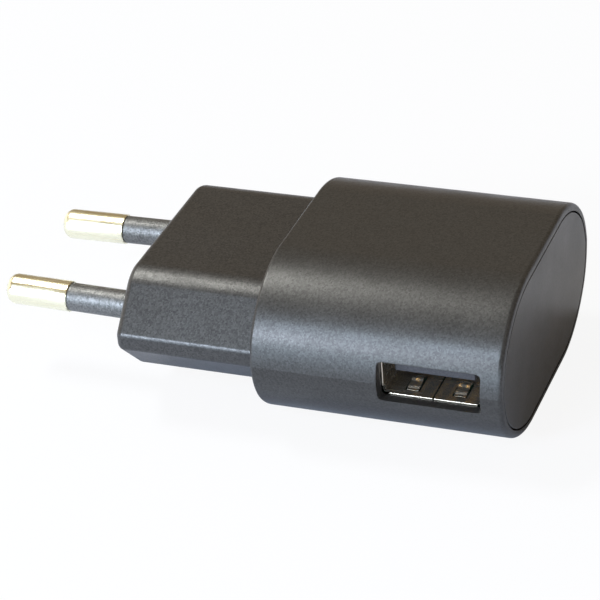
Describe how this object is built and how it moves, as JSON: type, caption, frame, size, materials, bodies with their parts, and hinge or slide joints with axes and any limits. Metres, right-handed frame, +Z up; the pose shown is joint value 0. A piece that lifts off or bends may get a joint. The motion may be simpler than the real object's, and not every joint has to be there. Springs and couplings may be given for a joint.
{
  "type": "usb wall charger",
  "caption": "Plug-in mains USB charger: round-pin plug block on an oval housing with a flush end cap and a side USB-A socket with sprung fingers and contacts.",
  "frame": {"origin": "middle of the charger's box, on the plane of the flat underside it lies on", "axes": "+X from the pins towards the end cap, +Z up, the USB socket faces -Y"},
  "size_m": [0.0702, 0.0398, 0.0214],
  "materials": {
    "housing_plastic": "satin, fine sparkling grain",
    "plug_plastic": "fine moulded grain",
    "cap_plastic": "satin",
    "sleeve_plastic": "grained",
    "pin_plating": "bright nickel over brass",
    "shell_steel": "bright tin plate",
    "insulator_plastic": "moulded",
    "contact_gold": "gold flash over bronze",
    "spring_bronze": "rolled",
    "board_laminate": "solder mask",
    "ferrite": "ground",
    "bobbin_plastic": "moulded",
    "winding_tape": "polyester tape",
    "can_sleeve": "shrunk sleeve",
    "chip_epoxy": "moulded epoxy",
    "disc_epoxy": "dipped epoxy",
    "choke_copper": "enamelled wire",
    "resistor_body": "cement coat",
    "chip_ceramic": "fired",
    "tinned_lead": "tinned"
  },
  "bodies": {
    "charger": {"housing": "housing_plastic", "plug_block": "plug_plastic", "end_cap": "cap_plastic", "pin_left": "pin_plating", "pin_right": "pin_plating", "pin_sleeve_left": "sleeve_plastic", "pin_sleeve_right": "sleeve_plastic", "usb_shell": "shell_steel", "usb_insulator": "insulator_plastic", "contact_spring_left": "spring_bronze", "contact_spring_right": "spring_bronze", "main_board": "board_laminate", "fuse_resistor": "resistor_body", "input_capacitor_left": "can_sleeve", "input_capacitor_right": "can_sleeve", "filter_choke": "choke_copper", "bridge_rectifier": "chip_epoxy", "switching_transistor": "chip_epoxy", "controller_chip": "chip_epoxy", "optocoupler": "chip_epoxy", "safety_capacitor": "disc_epoxy", "transformer_core_front": "ferrite", "transformer_core_rear": "ferrite", "transformer_bobbin": "bobbin_plastic", "transformer_winding": "winding_tape", "transformer_pins": "tinned_lead", "output_diode": "chip_epoxy", "output_capacitor": "can_sleeve", "chip_resistors": "chip_epoxy", "chip_capacitors": "chip_ceramic"},
    "finger_lower_left": {"finger_lower_left": "shell_steel"},
    "finger_lower_right": {"finger_lower_right": "shell_steel"},
    "finger_upper_left": {"finger_upper_left": "shell_steel"},
    "finger_upper_right": {"finger_upper_right": "shell_steel"},
    "contact_power": {"contact_power": "contact_gold"},
    "contact_data_minus": {"contact_data_minus": "contact_gold"},
    "contact_data_plus": {"contact_data_plus": "contact_gold"},
    "contact_ground": {"contact_ground": "contact_gold"}
  },
  "joints": [
    {"name": "finger_lower_left_flex", "type": "hinge", "parent": "charger", "child": "finger_lower_left", "pos_m": [0.0229, -0.0169, 0.00872], "axis": [-1, 0, 0], "range_deg": [0, 7], "stiffness_Nm_per_rad": 0.05},
    {"name": "finger_lower_right_flex", "type": "hinge", "parent": "charger", "child": "finger_lower_right", "pos_m": [0.0289, -0.0169, 0.00872], "axis": [-1, 0, 0], "range_deg": [0, 7], "stiffness_Nm_per_rad": 0.05},
    {"name": "finger_upper_left_flex", "type": "hinge", "parent": "charger", "child": "finger_upper_left", "pos_m": [0.0229, -0.0169, 0.01409], "axis": [1, 0, 0], "range_deg": [0, 7], "stiffness_Nm_per_rad": 0.05},
    {"name": "finger_upper_right_flex", "type": "hinge", "parent": "charger", "child": "finger_upper_right", "pos_m": [0.0289, -0.0169, 0.01409], "axis": [1, 0, 0], "range_deg": [0, 7], "stiffness_Nm_per_rad": 0.05},
    {"name": "contact_power_flex", "type": "hinge", "parent": "charger", "child": "contact_power", "pos_m": [0.0224, -0.009, 0.0118], "axis": [-1, 0, 0], "range_deg": [0, 4], "stiffness_Nm_per_rad": 0.02},
    {"name": "contact_data_minus_flex", "type": "hinge", "parent": "charger", "child": "contact_data_minus", "pos_m": [0.0249, -0.009, 0.0118], "axis": [-1, 0, 0], "range_deg": [0, 4], "stiffness_Nm_per_rad": 0.02},
    {"name": "contact_data_plus_flex", "type": "hinge", "parent": "charger", "child": "contact_data_plus", "pos_m": [0.0269, -0.009, 0.0118], "axis": [-1, 0, 0], "range_deg": [0, 4], "stiffness_Nm_per_rad": 0.02},
    {"name": "contact_ground_flex", "type": "hinge", "parent": "charger", "child": "contact_ground", "pos_m": [0.0294, -0.009, 0.0118], "axis": [-1, 0, 0], "range_deg": [0, 4], "stiffness_Nm_per_rad": 0.02}
  ]
}
